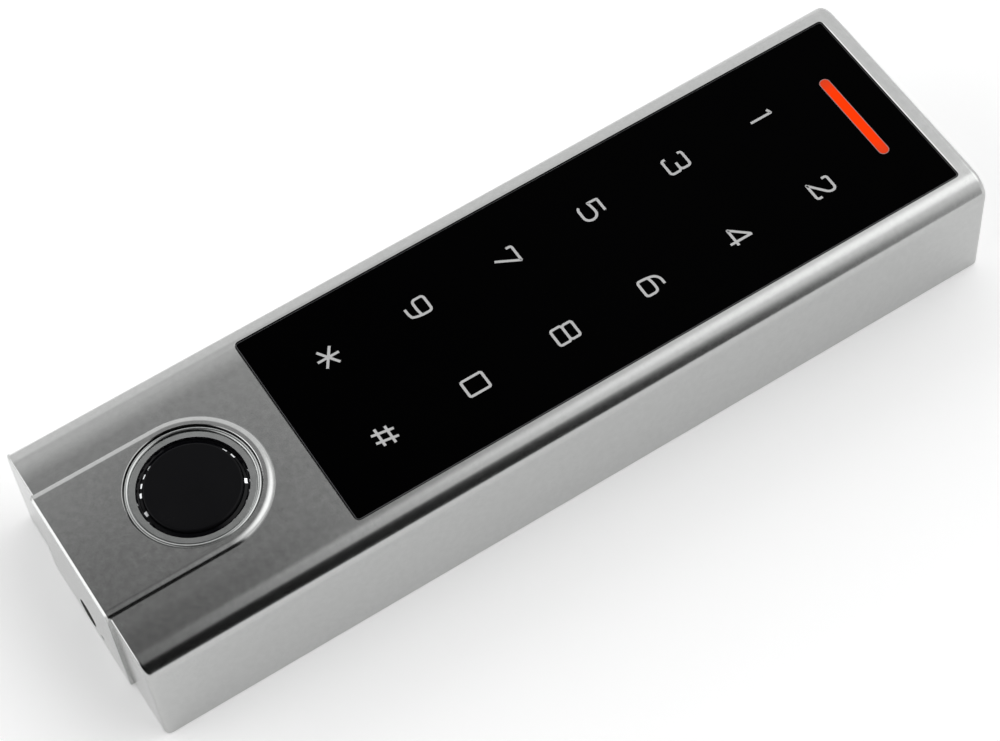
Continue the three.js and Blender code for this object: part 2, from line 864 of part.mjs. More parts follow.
// Rubber bush in the rear cover, with a flange on each side of it and the cable's bore
function cableGrommet() {
  const back = coverBack - seatGap;
  const front = coverFront + seatGap;
  return turned(
    [
      [cableBore, back - grommetFlangeThickness],
      [grommetFlange, back - grommetFlangeThickness],
      [grommetFlange, back],
      [grommetNeck, back],
      [grommetNeck, front],
      [grommetFlange, front],
      [grommetFlange, front + grommetFlangeThickness],
      [cableBore, front + grommetFlangeThickness],
      [cableBore, back - grommetFlangeThickness],
    ],
    0,
    grommetY,
    32,
  );
}

// Steel plate: a hook at the upper end, a turned-up flange at the lower end
function wallPlate() {
  const half = coverHalf - 0.2;
  const low = coverLow;
  const high = coverHigh;
  let plate = slab(
    roundedOutline(2 * half, high - low, 2),
    [0, plateThickness],
    (low + high) / 2,
  );
  const hook = [-hookHalfWidth + 1, hookHalfWidth - 1];
  const neck = box(hook, [high - 3, riserEnd], [0, plateThickness]);
  const riser = box(hook, [riserEnd - hookRiser, riserEnd], [0, hookTabZ[1]]);
  const tab = box(hook, [riserEnd - hookRiser, plateHookEnd], hookTabZ);
  const foot = box([-flangeHalfWidth, flangeHalfWidth], [plateLow, low + 3], [0, plateThickness]);
  const flange = box(
    [-flangeHalfWidth, flangeHalfWidth],
    [plateLow, plateLow + plateThickness],
    [0, flangeHeight],
  );
  plate = plate.add(neck).add(riser).add(tab).add(foot).add(flange);
  for (const y of wallScrewRows) {
    const slot = roundedOutline(2 * wallScrewRadius, 4 * wallScrewRadius, wallScrewRadius);
    plate = plate.subtract(slab(slot, [-1, plateThickness + 1], y));
  }
  return plate.subtract(rod(plateWindow, [-1, plateThickness + 1], 0, grommetY, 32));
}

// ---- Lock screw, along Y in the lower end ----

const lockSeat = padEnd + lockBoreDepth;
const washerFace = lockSeat - seatGap - lockWasherThickness;
const lockHeadSeat = washerFace - seatGap;

function lockWasher() {
  const y = [washerFace, washerFace + lockWasherThickness];
  const disc = rodAlongY(lockHeadRadius, y, 0, lockZ);
  return disc.subtract(rodAlongY(lockRadius + 0.15, [y[0] - 1, y[1] + 1], 0, lockZ));
}

function lockScrew() {
  const face = lockHeadSeat - lockHeadHeight;
  const head = rodAlongY(lockHeadRadius, [face, lockHeadSeat], 0, lockZ, 24);
  const shank = rodAlongY(lockRadius, [lockHeadSeat - 0.1, flangeFace + lockPoint], 0, lockZ, 16);
  const socket = rodAlongY(socketRadius, [face - 1, face + socketDepth], 0, lockZ, 6);
  return head.add(shank).subtract(socket);
}

// ---- Materials ----

function finish(color, roughness, metalness) {
  return new THREE.MeshStandardMaterial({ color, roughness, metalness });
}

const satinCasting = finish(0xb4b6b4, 0.32, 1);
const blackGlass = finish(0x030303, 0.06, 0);
const adhesive = finish(0x15171a, 0.8, 0);
const amberDiffuser = finish(0xff3c08, 0.35, 0);
const circuitGreen = finish(0x1c5a36, 0.5, 0);
const circuitBlack = finish(0x17191b, 0.5, 0);
const chipBlack = finish(0x1b1b1d, 0.45, 0);
const ledWhite = finish(0xf2efe2, 0.3, 0);
const copper = finish(0xb26a3a, 0.3, 1);
const bezelSteel = finish(0x8c9092, 0.4, 1);
const sensorBlack = finish(0x0b0b0c, 0.12, 0);
const windowBlack = finish(0x101113, 0.45, 0);
const rubber = finish(0x1d1d1d, 0.85, 0);
const brass = finish(0xb08d45, 0.35, 1);
const nylonWhite = finish(0xe9e6dc, 0.5, 0);
const plateSteel = finish(0x9da1a3, 0.38, 1);
const screwSteel = finish(0x8a8c8e, 0.3, 1);
const coverBlack = finish(0x202224, 0.6, 0);

// ---- The terminal ----

const terminal = new THREE.Group();

function place(name, made, material) {
  const mesh = made.getMesh();
  const geometry = new THREE.BufferGeometry();
  geometry.setAttribute("position", new THREE.BufferAttribute(mesh.vertProperties, 3));
  geometry.setIndex(new THREE.BufferAttribute(mesh.triVerts, 1));
  geometry.computeVertexNormals();
  const piece = new THREE.Mesh(geometry, material);
  piece.name = name;
  terminal.add(piece);
}


place("housing", housing(), satinCasting);

place("keypad_glass", keypadGlass(), blackGlass);
place("glass_adhesive", glassAdhesive(), adhesive);
place("touch_board", touchBoard(), circuitBlack);
place("touch_chip", touchChip(), chipBlack);
place("light_bar", lightBar(), amberDiffuser);
place("reader_coil", readerCoil(), copper);
keyPlaces().forEach(([x, y], index) => {
  const level = touchBack - seatGap - keyLedSize[2];
  place("key_led_" + (index + 1), block(keyLedSize, x, y, level), ledWhite);
});
for (let i = 0; i < barLedCount; i++) {
  const x = (i - (barLedCount - 1) / 2) * (lightBarWidth / barLedCount);
  place("bar_led_" + (i + 1), block(barLedSize, x, lightBarY, onFront), ledWhite);
}

place("sensor_bezel", sensorBezel(), bezelSteel);
place("sensor_seal", sensorSeal(), rubber);
place("sensor_nut", sensorNut(), brass);
place("sensor_prism_ring", sensorPrism(), sensorBlack);
place("finger_window", fingerWindow(), windowBlack);
place("sensor_body", sensorBody(), chipBlack);
place("sensor_board", sensorBoard(), circuitGreen);
place("sensor_ribbon", sensorRibbon(), nylonWhite);

place("main_board", mainBoard(), circuitGreen);
place("ribbon_socket", block(ribbonSocketSize, 0, ribbonSocketY, onFront), nylonWhite);
place("board_header", boardHeader(), chipBlack);
for (const [name, chip] of Object.entries(chipPlaces)) {
  place(name, block(chip.size, chip.at[0], boardMiddle + chip.at[1], onFront), chipBlack);
}
place("buzzer", buzzer(), chipBlack);
place("wire_socket", wireSocket(), nylonWhite);
place("tamper_sensor", tamperSensor(), amberDiffuser);
boardBossRows.forEach((y, row) => {
  [-1, 1].forEach((side, column) => {
    const screw = panScrew(
      boardScrewRadius,
      boardScrewHead,
      boardScrewLength,
      side * bossX,
      y,
      onBack,
    );
    place("board_screw_" + (2 * row + column + 1), screw, screwSteel);
  });
});

place("rear_cover", rearCover(), coverBlack);
place("cover_seal", coverSeal(), rubber);
place("cable_grommet", cableGrommet(), rubber);
coverBossRows.forEach((y, row) => {
  [-1, 1].forEach((side, column) => {
    const screw = panScrew(
      coverScrewRadius,
      coverScrewHead,
      coverScrewLength,
      side * bossX,
      y,
      coverBack + screwHeadHeight + 0.2 - seatGap,
    );
    place("cover_screw_" + (2 * row + column + 1), screw, screwSteel);
  });
});

place("wall_plate", wallPlate(), plateSteel);
place("lock_washer", lockWasher(), nylonWhite);
place("lock_screw", lockScrew(), screwSteel);

export default terminal;
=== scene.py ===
import json
import math

import bmesh
import bpy
from mathutils import Matrix, Vector


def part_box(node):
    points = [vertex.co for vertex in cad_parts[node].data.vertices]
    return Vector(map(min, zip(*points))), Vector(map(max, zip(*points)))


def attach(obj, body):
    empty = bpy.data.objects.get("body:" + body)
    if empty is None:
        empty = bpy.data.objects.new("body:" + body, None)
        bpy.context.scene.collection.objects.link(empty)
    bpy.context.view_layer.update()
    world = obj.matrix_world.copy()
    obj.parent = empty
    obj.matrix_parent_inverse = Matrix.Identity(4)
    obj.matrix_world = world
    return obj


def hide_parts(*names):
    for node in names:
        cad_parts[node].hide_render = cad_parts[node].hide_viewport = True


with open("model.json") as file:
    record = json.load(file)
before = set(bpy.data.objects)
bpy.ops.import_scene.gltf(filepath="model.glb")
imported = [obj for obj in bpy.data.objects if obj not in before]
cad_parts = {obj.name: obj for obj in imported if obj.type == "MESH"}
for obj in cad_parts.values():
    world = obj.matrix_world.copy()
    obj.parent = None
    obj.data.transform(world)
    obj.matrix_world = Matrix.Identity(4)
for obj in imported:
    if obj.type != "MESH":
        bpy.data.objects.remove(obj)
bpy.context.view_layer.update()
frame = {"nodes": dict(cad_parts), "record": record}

mm = 0.001

# ---- Camera ----
# The terminal lies on its wall plate, seen through a long lens from above the right of its
# sensor end.

camera_data = bpy.data.cameras.new("camera")
camera_data.sensor_width = 36.0
camera_data.lens = 104.24
camera_data.clip_start = 0.01
camera = bpy.data.objects.new("camera", camera_data)
view_right = Vector((0.5333, 0.8441, -0.0559))
view_up = Vector((-0.7043, 0.4797, 0.5233))
view_back = view_right.cross(view_up)
camera.matrix_world = Matrix((view_right, view_up, view_back)).transposed().to_4x4()
camera.matrix_world.translation = Vector((0.2118, -0.1095, 0.3906))
bpy.context.scene.collection.objects.link(camera)
bpy.context.scene.camera = camera
bpy.context.scene.view_settings.view_transform = "Standard"

# ---- Table and lights ----
# A pale light table that glows evenly, brighter in a painted pool of light on its left, in a
# white light tent. The tent has a hot spot over the light bar end, a low lamp past the sensor
# end, a dim ceiling over the sensor, and a black flag on the right.


def node(tree, kind, **values):
    made = tree.nodes.new(kind)
    for key, value in values.items():
        setattr(made, key, value)
    return made


table_reach = 1.6
table_right = 0.128
table_level = -0.1 * mm
table_bm = bmesh.new()
bmesh.ops.create_grid(table_bm, x_segments=1, y_segments=1, size=table_reach)
for corner in table_bm.verts:
    corner.co.x = min(corner.co.x, table_right)
bmesh.ops.translate(table_bm, vec=(0, 0, table_level), verts=table_bm.verts)
table_mesh = bpy.data.meshes.new("table")
table_bm.to_mesh(table_mesh)
table_bm.free()
table = bpy.data.objects.new("table", table_mesh)
bpy.context.scene.collection.objects.link(table)
table_paint_and_glow = bpy.data.materials.new("table_paint_and_glow")
table_paint_and_glow.use_nodes = True
table_shader = table_paint_and_glow.node_tree.nodes["Principled BSDF"]
table_shader.inputs["Base Color"].default_value = (1.0, 1.0, 1.0, 1)
table_shader.inputs["Roughness"].default_value = 0.9
table_shader.inputs["Specular IOR Level"].default_value = 0.1
table_shader.inputs["Emission Strength"].default_value = 1.0
table.data.materials.append(table_paint_and_glow)


def fade_in(tree, source, low, high, start=0.0, end=1.0):
    """A soft edge: start below low, end above high."""
    made = node(tree, "ShaderNodeMapRange", interpolation_type="SMOOTHSTEP")
    limits = {"From Min": low, "From Max": high, "To Min": start, "To Max": end}
    for socket, value in limits.items():
        made.inputs[socket].default_value = value
    tree.links.new(source, made.inputs["Value"])
    return made.outputs["Result"]


def worked_in(tree, operation, first, second=0.0):
    """One sum on two values, each a number or another node's output."""
    made = node(tree, "ShaderNodeMath", operation=operation)
    for socket, value in zip(made.inputs, (first, second)):
        if isinstance(value, float):
            socket.default_value = value
        else:
            tree.links.new(value, socket)
    return made.outputs[0]


def overlap_in(tree, first, *others):
    """Where all of several soft shapes are: their product."""
    shared = first
    for other in others:
        shared = worked_in(tree, "MULTIPLY", shared, other)
    return shared


paint = table_paint_and_glow.node_tree
table_place = node(paint, "ShaderNodeTexCoord")
table_axes = node(paint, "ShaderNodeSeparateXYZ")
paint.links.new(table_place.outputs["Object"], table_axes.inputs[0])
across, lengthwise = table_axes.outputs["X"], table_axes.outputs["Y"]
even_glow = 0.27
painted_pool_glow = 1.25
# The painted pool of light's soft edges, in metres: right, left, sensor end and light bar end
painted_light_pool = overlap_in(paint, fade_in(paint, across, -0.05, -0.024, 1, 0),
                  fade_in(paint, across, -0.4, -0.12),
                  fade_in(paint, lengthwise, -0.085, -0.06),
                  fade_in(paint, lengthwise, 0.03, 0.11, 1, 0))
# The table's glow is even, and stronger inside the pool: a painted pool of light
table_glow = fade_in(paint, painted_light_pool, 0.0, 1.0, even_glow, painted_pool_glow)
paint.links.new(table_glow, table_shader.inputs["Emission Color"])

world = bpy.data.worlds.new("light_tent")
world.use_nodes = True
tent = world.node_tree
toward = node(tent, "ShaderNodeTexCoord")
heading = node(tent, "ShaderNodeSeparateXYZ")
tent.links.new(toward.outputs["Generated"], heading.inputs[0])
to_right, to_bar_end, to_top = (heading.outputs[axis] for axis in "XYZ")


def fade(source, low, high, start=0.0, end=1.0):
    return fade_in(tent, source, low, high, start, end)


def along(direction):
    """How far the view of the tent leans along a direction."""
    made = node(tent, "ShaderNodeVectorMath", operation="DOT_PRODUCT")
    made.inputs[1].default_value = direction
    tent.links.new(toward.outputs["Generated"], made.inputs[0])
    return made.outputs["Value"]


def worked(operation, first, second=0.0):
    return worked_in(tent, operation, first, second)


def shaded_by(flag, darkness):
    """The share of the tent's light that a flag lets through."""
    return worked("SUBTRACT", 1.0, worked("MULTIPLY", flag, darkness))


def lamp(direction, outer, inner, strength):
    """A round lamp behind the tent's cloth, fading between two half angles in degrees."""
    return fade(along(direction), math.cos(math.radians(outer)), math.cos(math.radians(inner)),
                0, strength)


# The flags' soft edges lie between two leans of the direction, from -1 to 1
side_azimuth = math.radians(24.5)
flag_edge = (-math.sin(side_azimuth), math.cos(side_azimuth), 0)
flag_darkness = 0.995
side_flag = overlap_in(tent, fade(along(flag_edge), -0.11, 0.07, 1, 0),
                       fade(to_top, 0.68, 0.82, 1, 0), fade(to_top, -0.25, -0.2),
                       fade(to_right, 0.25, 0.45))
ceiling_slant = 0.14
ceiling_darkness = 0.89
sideways = worked("MAXIMUM", worked("MULTIPLY", to_right, -ceiling_slant), 0.0)
ceiling_flag = overlap_in(tent, fade(worked("SUBTRACT", to_bar_end, sideways), 0.08, 0.25, 1, 0),
                          fade(to_right, -0.64, -0.47), fade(to_top, 0.25, 0.55),
                          fade(to_bar_end, -0.75, -0.35))
open_tent = overlap_in(tent, shaded_by(side_flag, flag_darkness),
                       shaded_by(ceiling_flag, ceiling_darkness))
hot_spot = lamp(Vector((0.05, 0.65, 0.76)).normalized(), outer=31, inner=12, strength=0.95)
low_lamp = lamp((-0.5, -0.86, 0.08), outer=38, inner=20, strength=1.0)
lamps = worked("ADD", hot_spot, low_lamp)
tent.links.new(worked("ADD", open_tent, lamps), tent.nodes["Background"].inputs["Strength"])
tent.nodes["Background"].inputs["Color"].default_value = (1, 1, 1, 1)
bpy.context.scene.world = world

# ---- Housing ----
# One zinc die casting, bead blasted and plated satin nickel. Its front is slightly crowned
# between full rounds along its long edges, and a raised tongue runs from round the sensor over
# the lower end as a shallow pad.


def middle_of(named):
    low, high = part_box(named)
    return (low.x + high.x) / 2, (low.y + high.y) / 2


casting_low, casting_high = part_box("housing")
glass_low, glass_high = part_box("keypad_glass")
bezel_low, bezel_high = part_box("sensor_bezel")
sensor_x, sensor_y = middle_of("sensor_bezel")
bezel_radius = (bezel_high.x - bezel_low.x) / 2
side_gap = 0.3 * mm
pad_proud = 0.6 * mm
tongue_rise = 0.7 * mm
tongue_half = bezel_radius + 1.9 * mm
lower_face = casting_low.y + pad_proud
front_face = casting_high.z - tongue_rise
long_edge = 3.8 * mm
plan_corner = 1.1 * mm
merge = 1e-7
near = 1e-6


def plate(low, high, level, corner=0.0, steps=8):
    """A flat rectangle with round corners, as one upward face."""
    bm = bmesh.new()
    bmesh.ops.create_grid(bm, x_segments=1, y_segments=1, size=0.5)
    size = (high[0] - low[0], high[1] - low[1], 1)
    bmesh.ops.scale(bm, vec=size, verts=bm.verts)
    middle = ((low[0] + high[0]) / 2, (low[1] + high[1]) / 2, level)
    bmesh.ops.translate(bm, vec=middle, verts=bm.verts)
    if corner:
        bmesh.ops.bevel(bm, geom=bm.verts[:], offset=corner, offset_type="OFFSET",
                        segments=steps, profile=0.5, affect="VERTICES", material=-1)
    bmesh.ops.recalc_face_normals(bm, faces=bm.faces)
    return bm


def raised(bm, height):
    """The faces of a flat shape drawn up into a closed solid."""
    grown = bmesh.ops.extrude_face_region(bm, geom=bm.faces[:], use_keep_orig=True)
    top = [v for v in grown["geom"] if isinstance(v, bmesh.types.BMVert)]
    bmesh.ops.translate(bm, vec=(0, 0, height), verts=top)
    bmesh.ops.recalc_face_normals(bm, faces=bm.faces)
    return bm


def slab(low, high, corner=0.0, steps=8):
    """A block between two corner points, with its upright edges rounded."""
    return raised(plate(low, high, low[2], corner, steps), high[2] - low[2])


def top_edges(bm):
    level = max(v.co.z for v in bm.verts)
    return [e for e in bm.edges if all(v.co.z > level - merge for v in e.verts)]


def rounded(bm, edges, radius, steps):
    bmesh.ops.bevel(bm, geom=edges, offset=radius, offset_type="OFFSET", segments=steps,
                    profile=0.5, affect="EDGES", material=-1, clamp_overlap=False)


def turned(profile, x, y, steps=128):
    """A closed profile of (radius, z) points spun about an upright axis."""
    bm = bmesh.new()
    points = [bm.verts.new((x + radius, y, z)) for radius, z in profile]
    for first, second in zip(points, points[1:] + points[:1]):
        on_axis = max(first.co.x, second.co.x) - x < merge
        if not on_axis:
            bm.edges.new((first, second))
    bmesh.ops.spin(bm, geom=bm.verts[:] + bm.edges[:], cent=(x, y, 0), axis=(0, 0, 1),
                   angle=2 * math.pi, steps=steps, use_merge=True)
    bmesh.ops.remove_doubles(bm, verts=bm.verts, dist=merge)
    bmesh.ops.recalc_face_normals(bm, faces=bm.faces)
    return bm


def cut_across(bm, point, direction):
    """A row of points where a plane crosses a shape."""
    bmesh.ops.bisect_plane(bm, geom=bm.verts[:] + bm.edges[:] + bm.faces[:], dist=merge,
                           plane_co=point, plane_no=direction)


def rod_along_y(radius, start, end, x, z, steps=48):
    bm = bmesh.new()
    turn = Matrix.Rotation(math.pi / 2, 4, "X")
    place = Matrix.Translation((x, (start + end) / 2, z)) @ turn
    bmesh.ops.create_cone(bm, cap_ends=True, segments=steps, radius1=radius, radius2=radius,
                          depth=end - start, matrix=place)
    return bm


def part(name, bm):
    mesh = bpy.data.meshes.new(name)
    bm.to_mesh(mesh)
    bm.free()
    made = bpy.data.objects.new(name, mesh)
    bpy.context.scene.collection.objects.link(made)
    return made


def settle(piece):
    """Turns a piece's modifiers into its mesh."""
    bpy.context.view_layer.update()
    depsgraph = bpy.context.evaluated_depsgraph_get()
    mesh = bpy.data.meshes.new_from_object(piece.evaluated_get(depsgraph))
    piece.modifiers.clear()
    piece.data = mesh


def combine(base, bm, operation="DIFFERENCE"):
    """Cuts a shape out of a piece, or joins it on."""
    tool = part("tool", bm)
    machining = base.modifiers.new("machining", "BOOLEAN")
    machining.object = tool
    machining.operation = operation
    machining.solver = "MANIFOLD"
    settle(base)
    bpy.data.objects.remove(tool)


def shaded(piece, sharp=32):
    """Smooth shading that breaks at real edges, with flat faces kept flat."""
    piece.data.polygons.foreach_set("use_smooth", [True] * len(piece.data.polygons))
    piece.data.set_sharp_from_angle(angle=math.radians(sharp))
    weighted = piece.modifiers.new("flat_faces", "WEIGHTED_NORMAL")
    weighted.keep_sharp = True
    weighted.weight = 80


def fit(piece, finish, body, slot, *nodes, second=None):
    """Gives a piece its finish and its body; its slot is not used. Faces marked 1 take the
    second finish.
    """
    marks = [face.material_index for face in piece.data.polygons]
    piece.data.materials.clear()
    piece.data.materials.append(finish)
    if second:
        piece.data.materials.append(second)
        piece.data.polygons.foreach_set("material_index", marks)
    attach(piece, body)
    if nodes:
        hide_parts(*nodes)


def grain_group():
    """Fine relief and a slow mottle, in the piece's own place."""
    tree = bpy.data.node_groups.new("cast_grain", "ShaderNodeTree")
    for name, way, kind in (("Grain", "INPUT", "Float"), ("Patch", "INPUT", "Float"),
                            ("Stretch", "INPUT", "Vector"), ("Height", "OUTPUT", "Float"),
                            ("Mottle", "OUTPUT", "Float")):
        tree.interface.new_socket(name, in_out=way, socket_type="NodeSocket" + kind)
    given = node(tree, "NodeGroupInput")
    out = node(tree, "NodeGroupOutput")
    place = node(tree, "ShaderNodeTexCoord")
    drawn = node(tree, "ShaderNodeVectorMath", operation="MULTIPLY")
    tree.links.new(place.outputs["Object"], drawn.inputs[0])
    tree.links.new(given.outputs["Stretch"], drawn.inputs[1])
    noises = []
    for scale, detail, roughness in (("Grain", 3, 0.6), ("Patch", 4, 0.55)):
        noise = node(tree, "ShaderNodeTexNoise")
        noise.inputs["Detail"].default_value = detail
        noise.inputs["Roughness"].default_value = roughness
        tree.links.new(drawn.outputs[0], noise.inputs["Vector"])
        tree.links.new(given.outputs[scale], noise.inputs["Scale"])
        noises.append(noise.outputs["Fac"])
    fine, slow = noises
    fine_share = 0.4
    mottle = worked_in(tree, "ADD", worked_in(tree, "MULTIPLY", slow, 1 - fine_share),
                       worked_in(tree, "MULTIPLY", fine, fine_share))
    tree.links.new(fine, out.inputs["Height"])
    tree.links.new(mottle, out.inputs["Mottle"])
    return tree


cast_grain = grain_group()


def finish_of(name, dark, light, roughness, relief=0.0, grain=4000, patch=120,
              stretch=(1, 1, 1), metallic=0.0, specular=0.5, coat=0.0):
    """A surface whose colour and gloss drift between two values with the grain."""
    made = bpy.data.materials.new(name)
    made.use_nodes = True
    tree = made.node_tree
    shader = tree.nodes["Principled BSDF"]
    shader.inputs["Metallic"].default_value = metallic
    shader.inputs["Specular IOR Level"].default_value = specular
    shader.inputs["Coat Weight"].default_value = coat
    surface = node(tree, "ShaderNodeGroup", node_tree=cast_grain)
    surface.inputs["Grain"].default_value = grain
    surface.inputs["Patch"].default_value = patch
    surface.inputs["Stretch"].default_value = stretch
    shades = node(tree, "ShaderNodeMix", data_type="RGBA")
    shades.inputs["A"].default_value = (*dark, 1)
    shades.inputs["B"].default_value = (*light, 1)
    spread = node(tree, "ShaderNodeMapRange")
    gloss = node(tree, "ShaderNodeMapRange")
    for ranged in (spread, gloss):
        ranged.inputs["From Min"].default_value = 0.3
        ranged.inputs["From Max"].default_value = 0.7
        tree.links.new(surface.outputs["Mottle"], ranged.inputs["Value"])
    gloss.inputs["To Min"].default_value, gloss.inputs["To Max"].default_value = roughness
    tree.links.new(spread.outputs["Result"], shades.inputs["Factor"])
    tree.links.new(shades.outputs["Result"], shader.inputs["Base Color"])
    tree.links.new(gloss.outputs["Result"], shader.inputs["Roughness"])
    if relief:
        bump = node(tree, "ShaderNodeBump")
        bump.inputs["Strength"].default_value = 1.0
        bump.inputs["Distance"].default_value = relief
        tree.links.new(surface.outputs["Height"], bump.inputs["Height"])
        tree.links.new(bump.outputs["Normal"], shader.inputs["Normal"])
    return made


satin_casting = finish_of("satin_casting", (0.475, 0.48, 0.475), (0.525, 0.53, 0.525),
                          (0.17, 0.2), relief=0.002 * mm, grain=3600, patch=900, metallic=1.0)

# Blank: the section across the width, crowned, drawn along the length and stood up
housing_bm = plate((casting_low.x, 0), (casting_high.x, front_face), 0)
front_corners = [v for v in housing_bm.verts if v.co.y > front_face / 2]
bmesh.ops.bevel(housing_bm, geom=front_corners, offset=long_edge, segments=24,
                profile=0.5, affect="VERTICES", material=-1)
crown_start = 14.5 * mm
crown_drop = 0.11 * mm
crown_run = casting_high.x - long_edge - crown_start
for share in (0, 0.3, 0.55, 0.8, 1):
    for side in (-1, 1):
        cut_across(housing_bm, (side * (crown_start + share * crown_run), 0, 0), (1, 0, 0))
for point in housing_bm.verts:
    run = min(1, max(0, (abs(point.co.x) - crown_start) / crown_run))
    rise = max(0, 1 - (front_face - point.co.y) / long_edge)
    point.co.y -= crown_drop * run * run * rise
bar_end_extra = 0.5 * mm
raised(housing_bm, casting_high.y + bar_end_extra - lower_face)
stand = Matrix(((1, 0, 0), (0, 0, 1), (0, 1, 0)))
bmesh.ops.transform(housing_bm, matrix=stand.to_4x4(), verts=housing_bm.verts)
bmesh.ops.translate(housing_bm, vec=(0, lower_face, 0), verts=housing_bm.verts)
bmesh.ops.recalc_face_normals(housing_bm, faces=housing_bm.faces)
# Edges round both ends: even at the light bar end, small on the front of the lower end and
# growing down its corners, whose back edge alone stays square. The turn is in radians.
bar_end_share = 0.95
lower_front_share = 0.25
sharp_turn = 1
weight = housing_bm.edges.layers.float.new("bevel_weight_edge")
for edge in housing_bm.edges:
    first, second = (v.co for v in edge.verts)
    on_end = abs(first.y - second.y) < merge and edge.calc_face_angle(0) > sharp_turn
    middle = (first + second) / 2
    if on_end and middle.y > 0:
        edge[weight] = bar_end_share
    elif on_end and middle.z > near:
        turned_down = min(1, max(0, (front_face - middle.z) / long_edge))
        edge[weight] = lower_front_share + (1 - lower_front_share) * turned_down
housing = part("housing_casting", housing_bm)
edge_rounds = housing.modifiers.new("edge_rounds", "BEVEL")
edge_rounds.limit_method = "WEIGHT"
edge_rounds.width = plan_corner
edge_rounds.segments = 6
edge_rounds.use_clamp_overlap = False
settle(housing)

# Tongue: its flanks are rounded wider than they are high, so they are cut round on a taller
# shape, which is then pressed flat. Its foot, at the end pad, has a plain broken edge.
flank_width = 1.15 * mm
foot_break = 0.35 * mm
just_short = 0.9999
tongue_bm = plate((sensor_x - tongue_half, casting_low.y),
                  (sensor_x + tongue_half, sensor_y + tongue_half), 0)
head = [v for v in tongue_bm.verts if v.co.y > sensor_y]
bmesh.ops.bevel(tongue_bm, geom=head, offset=tongue_half * just_short, segments=48, profile=0.5,
                affect="VERTICES", material=-1)
flattened = tongue_rise / flank_width
raised(tongue_bm, casting_high.z / flattened)
foot_line = casting_low.y + near
flank_edges = [e for e in top_edges(tongue_bm) if max(v.co.y for v in e.verts) > foot_line]
rounded(tongue_bm, flank_edges, flank_width, 5)
bmesh.ops.scale(tongue_bm, vec=(1, 1, flattened), verts=tongue_bm.verts)
foot_edges = [e for e in tongue_bm.edges
              if all(v.co.y < foot_line and v.co.z > front_face - near for v in e.verts)]
rounded(tongue_bm, foot_edges, foot_break, 1)
for direction in ((1, 0, 0), (0, 1, 0)):
    cut_across(tongue_bm, (sensor_x, sensor_y, 0), direction)
combine(housing, tongue_bm, "UNION")

# Hollow for the electronics, in front of it the deeper room behind the sensor, and the step at
# the back for the rear cover. Cuts start a little inside one another.
wall = 3 * mm
cut_in = 0.1 * mm
hollow_half = casting_high.x - wall
hollow_low = lower_face + 9 * mm
hollow_high = casting_high.y - 7 * mm
hollow_corner = 2 * mm
shelf_back = 17.35 * mm
shelf_front = 18.95 * mm
shelf_width = 2.2 * mm
cover_floor = 5.2 * mm
cover_step = 1.6 * mm
cover_corner = 2.4 * mm
combine(housing, slab((-hollow_half, hollow_low, cover_floor - cut_in),
                      (hollow_half, hollow_high, shelf_back), hollow_corner))
combine(housing, slab((-hollow_half, hollow_low, shelf_back - cut_in),
                      (hollow_half, glass_low.y - shelf_width, front_face - wall),
                      hollow_corner))
combine(housing, slab((-hollow_half - cover_step, hollow_low - cover_step, -mm),
                      (hollow_half + cover_step, hollow_high + cover_step, cover_floor),
                      cover_corner))

# Rooms for the wall plate's hook and flange, and the ledge that the hook holds
hook_half = 14.3 * mm
hook_wall = 1.9 * mm
flange_half = 10.3 * mm
flange_low = lower_face + 4 * mm
flange_high = lower_face + 6.3 * mm
flange_depth = 7.2 * mm
ledge_low = Vector((-15 * mm, casting_high.y - 3.6 * mm, 0.4 * mm))
ledge_high = Vector((15 * mm, casting_high.y - 1.4 * mm, 2.2 * mm))
for room_low, room_high in (
        ((-hook_half, hollow_high, -mm), (hook_half, casting_high.y - hook_wall, cover_floor)),
        ((-flange_half, flange_low, -mm), (flange_half, hollow_low, cover_floor)),
        ((-flange_half, flange_low, -mm), (flange_half, flange_high, flange_depth))):
    combine(housing, slab(room_low, room_high))
combine(housing, slab(ledge_low, ledge_high), "UNION")

# Bosses with pilot holes, for the screws of the rear cover and of the main board
boss_half = 2.8 * mm
boss_inner_side = 2.6 * mm
tip_room = 0.5 * mm
drill_point = 0.3 * mm
board_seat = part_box("main_board")[1].z + 0.2 * mm
for family, count, pilot, seat in (("cover_screw_", 6, 0.9 * mm, cover_floor),
                                   ("board_screw_", 4, 0.7 * mm, board_seat)):
    for i in range(count):
        named = family + str(i + 1)
        x, y = middle_of(named)
        hole_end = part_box(named)[1].z + tip_room
        sides = (x - math.copysign(boss_inner_side, x), math.copysign(hollow_half + cut_in, x))
        combine(housing, slab((min(sides), y - boss_half, seat),
                              (max(sides), y + boss_half, shelf_back + cut_in)), "UNION")
        combine(housing, turned([(0, seat - mm), (pilot, seat - mm), (pilot, hole_end),
                                 (0, hole_end + drill_point)], x, y, 24))

# Pocket for the glass, its bright cut lip at 45 degrees, and the opening behind its shelf
lip_depth = 0.12 * mm
pocket_corner = 0.8 * mm
lip_level = front_face - lip_depth
pocket_bm = slab((glass_low.x - side_gap, glass_low.y - side_gap, shelf_front),
                 (glass_high.x + side_gap, glass_high.y + side_gap, lip_level), pocket_corner)
lip_faces = [f for f in pocket_bm.faces
             if f.calc_center_median().z > lip_level - near and abs(f.normal.z) > 0.9]
flared = bmesh.ops.extrude_face_region(pocket_bm, geom=lip_faces)
flare = [v for v in flared["geom"] if isinstance(v, bmesh.types.BMVert)]
flare_rise = 2 * lip_depth
glass_middle = (glass_low + glass_high) / 2
glass_size = glass_high - glass_low
spread_out = (1 + 2 * flare_rise / glass_size.x, 1 + 2 * flare_rise / glass_size.y, 1)
bmesh.ops.translate(pocket_bm, vec=(0, 0, flare_rise), verts=flare)
bmesh.ops.scale(pocket_bm, vec=spread_out, space=Matrix.Translation(-glass_middle), verts=flare)
bmesh.ops.delete(pocket_bm, geom=[f for f in lip_faces if f.is_valid], context="FACES_ONLY")
bmesh.ops.recalc_face_normals(pocket_bm, faces=pocket_bm.faces)
combine(housing, pocket_bm)
